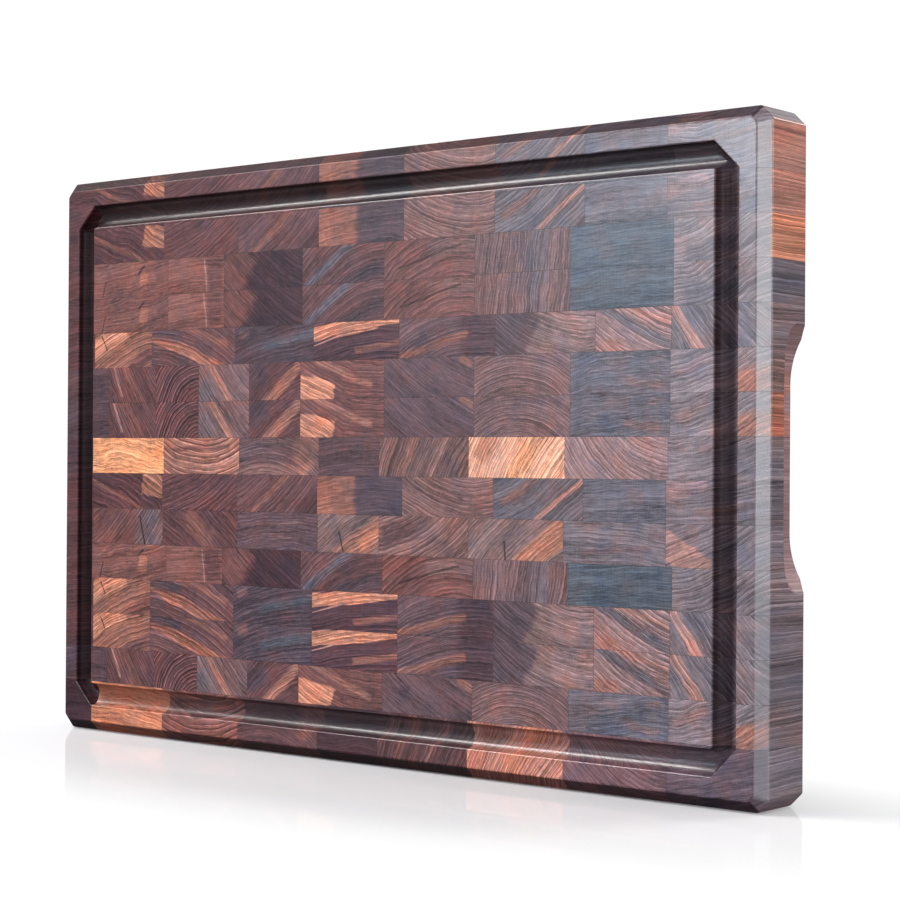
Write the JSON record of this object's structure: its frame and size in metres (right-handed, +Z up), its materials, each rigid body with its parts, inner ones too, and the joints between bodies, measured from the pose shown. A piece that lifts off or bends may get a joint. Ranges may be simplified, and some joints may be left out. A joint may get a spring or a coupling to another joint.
{
  "type": "cutting board",
  "caption": "Thick end-grain walnut cutting board with bevelled edges, a juice groove around the cutting face and a finger scoop under each end.",
  "frame": {"origin": "middle of the underside of the long edge that the board stands on", "axes": "+X along the board's length, +Y from the grooved cutting face to the back face, +Z up across the board's width"},
  "size_m": [0.4572, 0.0382, 0.3048],
  "materials": {
    "walnut_a": "oiled, satin",
    "walnut_b": "oiled, satin",
    "walnut_c": "oiled, satin",
    "walnut_d": "oiled, satin",
    "walnut_e": "oiled, satin",
    "walnut_f": "oiled, satin"
  },
  "bodies": {
    "root": {"strip_01": "walnut_e", "strip_02": "walnut_d", "strip_03": "walnut_c", "strip_04": "walnut_c", "strip_05": "walnut_b", "strip_06": "walnut_f", "strip_07": "walnut_a", "strip_08": "walnut_e", "strip_09": "walnut_d", "strip_10": "walnut_d", "strip_11": "walnut_c", "strip_12": "walnut_b", "strip_13": "walnut_b", "strip_14": "walnut_a", "strip_15": "walnut_a"}
  },
  "joints": []
}
